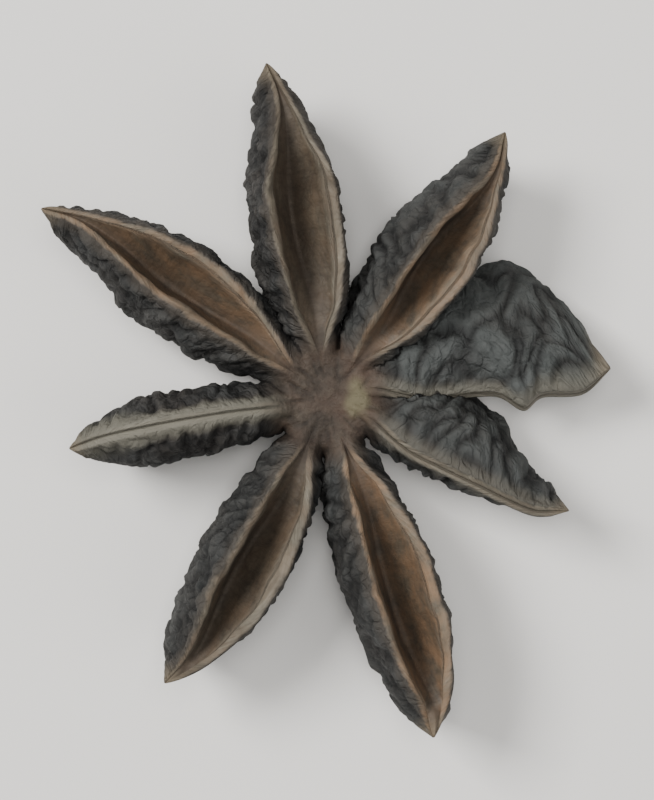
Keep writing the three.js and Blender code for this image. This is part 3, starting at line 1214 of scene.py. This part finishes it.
@dataclass
class Fruit:
    """The whole fruit: carpels and column fused into one body and set on the frame.

    The hub is the top of the column, where the carpels run together, and the tip is the pale
    spot on it. Sizes are in millimetres. A pair has the two ends of a change, but for tip_spot,
    which is a place, and hub_dents, which has the size and depth of each kind of dent.
    """

    column: Column
    carpels: tuple[Carpel, ...]
    sink: float = 0.1
    hub_level: float = 4.72
    hub_span: Pair = (1.6, 2.9)
    hub_rise: Pair = (3.7, 4.4)
    hub_passes: int = 6
    hub_fade: Pair = (2.0, 3.5)
    hub_dents: tuple[Pair, ...] = ((0.8, 0.09), (0.3, 0.05))
    hub_seed: float = 3
    hub_edge: float = 0.5
    hub_edge_pace: float = 0.9
    ridge_width: float = 0.42
    ridge_start: Pair = (0.5, 2.6)
    crease_turns: float = 2.6
    crease_pace: float = 0.45
    crease_sharpness: float = 4
    crease_depth: float = 0.1
    crease_fade: Pair = (0.4, 1.4)
    tip_spot: Pair = (1.35, -0.05)
    tip_squeeze: float = 0.75
    tip_fade: Pair = (0.2, 0.95)
    tip_uneven: float = 0.45
    tip_size: float = 0.6
    tip_seed: float = 1
    tip_height: float = 0.2

    def fuse(self) -> bpy.types.Object:
        """Joins the column and the carpels by one union.

        Returns:
            The fused body, in millimetres round the column's axis.
        """
        body = new_object(NODE + "_dressed", self.column.mesh())
        put_in_scene(body)
        parts = bpy.data.collections.new("fruit parts")
        bpy.context.scene.collection.children.link(parts)
        for carpel in self.carpels:
            parts.objects.link(new_object(f"carpel {carpel.number + 1}", carpel.mesh()))
        union = body.modifiers.new("fuse", "BOOLEAN")
        union.operation = "UNION"
        union.operand_type = "COLLECTION"
        union.collection = parts
        union.solver = "MANIFOLD"
        evaluated = body.evaluated_get(bpy.context.evaluated_depsgraph_get())
        fused = bpy.data.meshes.new_from_object(evaluated)
        body.modifiers.clear()
        body.data = fused
        for part in list(parts.objects):
            bpy.data.objects.remove(part)
        bpy.data.collections.remove(parts)
        return body

    def centre(self) -> Vector:
        """Finds the middle of the plain form's footprint.

        Returns:
            Where it lies from the column's axis.
        """
        low = Vector((math.inf, math.inf))
        high = Vector((-math.inf, -math.inf))
        for carpel in self.carpels:
            for step in range(carpel.stations + 1):
                cut = carpel.cut(mix(carpel.start, 1, step / carpel.stations))
                for spot in carpel.ring():
                    point = carpel.to_fruit(cut, *carpel.section_point(cut, spot, wavy=False))
                    low = Vector(map(min, low, point.xy))
                    high = Vector(map(max, high, point.xy))
        return (low + high) / 2

    def hub_height(self, spot: Vector) -> float:
        """The height of the hub's top, where the seams' ridges run together and fade.

        Args:
            spot: a place on it, from the column's axis.

        Returns:
            The height there, in millimetres.
        """
        ridge = 0.0
        for carpel in self.carpels:
            bearing = math.radians(carpel.plan.bearing)
            along = spot.x * math.cos(bearing) + spot.y * math.sin(bearing)
            across = spot.y * math.cos(bearing) - spot.x * math.sin(bearing)
            rise = max(carpel.seam.at(max(along, 0) / carpel.plan.reach) - self.hub_level, 0)
            shape = math.exp(-((across / self.ridge_width) ** 2)) * smoothstep(*self.ridge_start, along)
            ridge = max(ridge, rise * shape)
        dents = sum(depth * ripple(spot.x, spot.y, self.hub_seed, size) for size, depth in self.hub_dents)
        return self.hub_level + ridge + self.tip_height * self.tip_share(spot) + dents

    def tip_share(self, spot: Vector) -> float:
        """Works out how much of the column's pale, uneven tip is at a place.

        Args:
            spot: the place, from the column's axis.

        Returns:
            1 in the tip's middle and 0 outside.
        """
        away = spot - Vector(self.tip_spot)
        uneven = self.tip_uneven * ripple(spot.x, spot.y, self.tip_seed, self.tip_size)
        return 1 - smoothstep(*self.tip_fade, math.hypot(away.x, self.tip_squeeze * away.y) + uneven)

    def hub_crease(self, spot: Vector) -> float:
        """Works out how far into one of the hub's radial creases a place is.

        Args:
            spot: the place, from the column's axis.

        Returns:
            1 on a crease's line and 0 beside it.
        """
        turn = spot.normalized() * self.crease_turns
        wave = ripple(turn.x, turn.y, spot.length * self.crease_pace)
        line = 1 - min(abs(wave) * self.crease_sharpness, 1)
        return line * smoothstep(*self.crease_fade, spot.length)

    def hub_share(self, place: Vector) -> float:
        """How much a point belongs to the hub's top: 1 in its middle and 0 outside."""
        return (1 - smoothstep(*self.hub_span, place.xy.length)) * smoothstep(*self.hub_rise, place.z)

    def shape_hub(self, bm: bmesh.types.BMesh) -> None:
        """Runs the carpels together at the hub, creases it, and marks it and its tip.

        Args:
            bm: the fused body.
        """
        hub_layer, tip_layer, ridge_layer = (bm.verts.layers.float[name] for name in ("hub", "tip", "ridge"))
        top = [vert for vert in bm.verts if vert.co.z > self.hub_rise[0]]
        hub = [vert for vert in top if vert.co.xy.length < self.hub_span[1]]
        for vert in hub:
            vert.co.z = mix(vert.co.z, self.hub_height(vert.co.xy), self.hub_share(vert.co))
        for _ in range(self.hub_passes):
            relax(bm, hub)
        for vert in hub:
            share = self.hub_share(vert.co)
            crease = self.hub_crease(vert.co.xy)
            vert.co.z -= self.crease_depth * crease * share
            # the crease lines steer the painted shade in the hub's creases
            vert[ridge_layer] = mix(vert[ridge_layer], 1 - crease, share)
        for vert in top:
            radius = vert.co.xy.length + self.hub_edge * noise.noise(vert.co * self.hub_edge_pace)
            vert[hub_layer] = 1 - smoothstep(*self.hub_fade, radius)
            vert[tip_layer] = self.tip_share(vert.co.xy)

    def drop_specks(self, bm: bmesh.types.BMesh) -> None:
        """Deletes the loose specks that the union leaves where the folds of two carpels just touch.

        Args:
            bm: the fused body.
        """
        left = set(bm.verts)
        pieces = []
        while left:
            piece = [left.pop()]
            for vert in piece:
                near = left.intersection(edge.other_vert(vert) for edge in vert.link_edges)
                left -= near
                piece.extend(near)
            pieces.append(piece)
        pieces.sort(key=len)
        bmesh.ops.delete(bm, geom=[vert for piece in pieces[:-1] for vert in piece], context="VERTS")

    def crossed(self, bm: bmesh.types.BMesh) -> list[bmesh.types.BMFace]:
        """Finds the faces that can't be cut into triangles as they are.

        Args:
            bm: the closed body.

        Returns:
            The faces with a diagonal that would run along an edge of other faces.
        """
        bm.verts.index_update()
        users: dict[tuple[int, int], list[bmesh.types.BMFace]] = defaultdict(list)
        for corners in bm.calc_loop_triangles():
            for corner, after in zip(corners, corners[1:] + corners[:1]):
                first, last = sorted((corner.vert.index, after.vert.index))
                users[first, last].append(corner.face)
        crowded = [faces for faces in users.values() if len(faces) > 2]
        return list(dict.fromkeys(face for faces in crowded for face in faces if faces.count(face) > 1))

    def build(self, material: bpy.types.Material) -> bpy.types.Object:
        """Fuses, settles and dresses the fruit.

        Args:
            material: its finish.

        Returns:
            The finished piece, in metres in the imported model's frame.
        """
        body = self.fuse()
        bm = bmesh.new()
        bm.from_mesh(body.data)
        self.drop_specks(bm)
        self.shape_hub(bm)
        for vert in bm.verts:
            vert.co.z = max(vert.co.z - self.sink, 0.0)
        low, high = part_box(NODE)
        middle = self.centre()
        offset = Vector(((low.x + high.x) / 2 / MM - middle.x, (low.y + high.y) / 2 / MM - middle.y, 0))
        bmesh.ops.translate(bm, vec=offset, verts=bm.verts)
        bmesh.ops.scale(bm, vec=(MM, MM, MM), verts=bm.verts)
        while faces := self.crossed(bm):
            bmesh.ops.poke(bm, faces=faces)
        for face in bm.faces:
            face.smooth = True
        bm.to_mesh(body.data)
        bm.free()
        body.data.materials.clear()
        body.data.materials.append(material)
        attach(body, "root")
        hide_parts(NODE)
        return body


# ---------------------------------------------------------------- stage


@dataclass(frozen=True)
class Lamp:
    """A soft square lamp that faces the fruit: its place and size in metres, and its watts."""

    name: str
    place: tuple[float, float, float]
    size: float
    watts: float


@dataclass
class Studio:
    """A pale floor, soft light and a camera that looks straight down, all in metres."""

    floor_size: float = 1.2
    floor_shade: Shade = (214, 211, 206)
    floor_rough: float = 0.9
    lens: float = 150.0
    sensor: float = 36.0
    clip_start: float = 0.01
    frame_height: float = 0.0375
    lamps: tuple[Lamp, ...] = (
        Lamp("key", (-0.24, 0.13, 0.31), 0.16, 2.45),
        Lamp("top", (0.02, 0.05, 0.5), 0.2, 1.45),
        Lamp("fill", (0.3, -0.12, 0.3), 0.35, 0.7),
    )
    surround: tuple[float, float, float, float] = (0.95, 0.97, 1.0, 1)
    surround_strength: float = 0.36

    def floor(self) -> None:
        """The surface that the fruit lies on."""
        bm = bmesh.new()
        bmesh.ops.create_grid(bm, x_segments=1, y_segments=1, size=self.floor_size / 2)
        floor = new_object("floor", bm)
        put_in_scene(floor)
        material, shader = new_material("pale floor")
        shader.inputs["Base Color"].default_value = linear(self.floor_shade)
        shader.inputs["Roughness"].default_value = self.floor_rough
        floor.data.materials.append(material)

    def camera(self) -> None:
        """Looks straight down, with +Y up in the picture."""
        data = bpy.data.cameras.new("camera")
        data.lens = self.lens
        data.sensor_width = self.sensor
        data.clip_start = self.clip_start
        camera = bpy.data.objects.new("camera", data)
        camera.location = (0, 0, self.frame_height * self.lens / self.sensor)
        put_in_scene(camera)
        bpy.context.scene.camera = camera

    def lights(self) -> None:
        """Hangs the key light at the upper left, the top light, the fill and an even surround."""
        for lamp in self.lamps:
            data = bpy.data.lights.new(lamp.name, "AREA")
            data.size = lamp.size
            data.energy = lamp.watts
            light = bpy.data.objects.new(lamp.name, data)
            light.location = lamp.place
            light.rotation_euler = (-Vector(lamp.place)).to_track_quat("-Z", "Y").to_euler()
            put_in_scene(light)
        world = bpy.data.worlds.new("surround")
        world.use_nodes = True
        background = world.node_tree.nodes["Background"]
        background.inputs["Color"].default_value = self.surround
        background.inputs["Strength"].default_value = self.surround_strength
        bpy.context.scene.world = world


def main() -> None:
    """Builds the stage and the fruit and reports what was made."""
    logging.basicConfig(level=logging.INFO, format="%(message)s")
    studio = Studio()
    studio.camera()
    studio.floor()
    studio.lights()
    groups = TissueGroups()
    finish = FruitFinish(pattern_group=groups.patterns(), layer_group=groups.layer())
    carpels = tuple(Carpel(plan=plan, number=number) for number, plan in enumerate(PLANS))
    fruit = Fruit(column=Column(), carpels=carpels).build(finish.material())
    log.info("%s: %d triangles", fruit.name, sum(len(face.vertices) - 2 for face in fruit.data.polygons))


if __name__ == "__main__":
    main()
